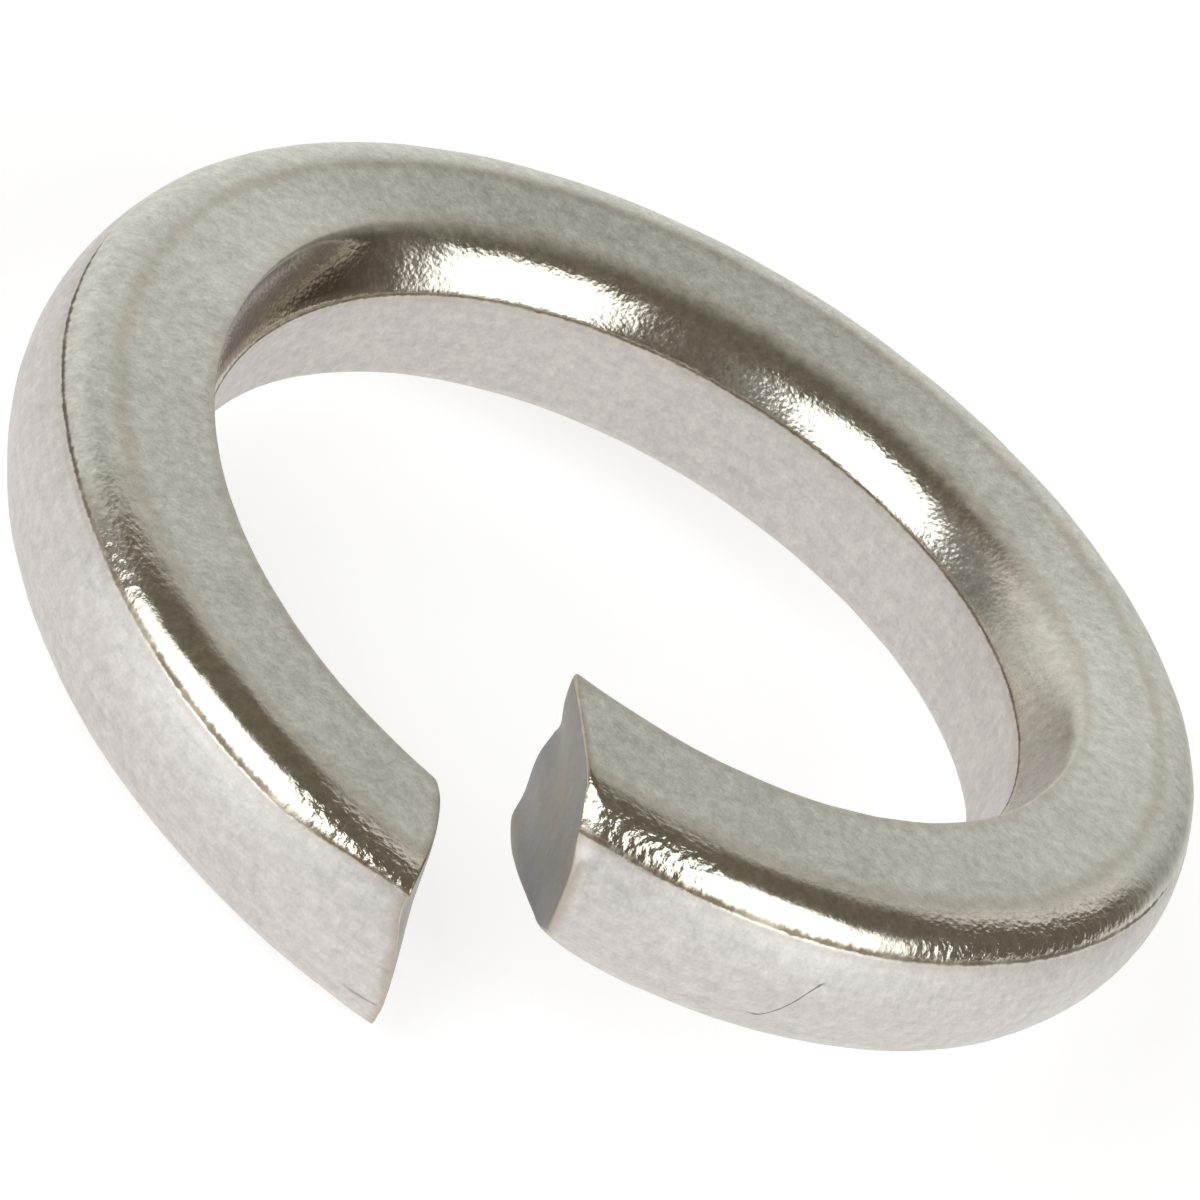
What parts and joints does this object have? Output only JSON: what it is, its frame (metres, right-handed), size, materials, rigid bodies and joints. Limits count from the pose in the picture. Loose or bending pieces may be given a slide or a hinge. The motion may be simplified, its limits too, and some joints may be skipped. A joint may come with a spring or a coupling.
{
  "type": "spring lock washer",
  "caption": "Coiled spring lock washer of nearly square steel wire with polished rounded corners, its ends cut slanting and set apart in height.",
  "frame": {"origin": "on the bolt axis, level with the lowest edge of the low end", "axes": "+Z along the bolt axis, up; the split faces -Y; +X to the right seen from the split, on the side of the high end"},
  "size_m": [0.0236, 0.0236, 0.0073],
  "materials": {
    "steel": "matte faces and walls with polished rounded corners"
  },
  "bodies": {
    "root": {"spring_washer": "steel"}
  },
  "joints": []
}
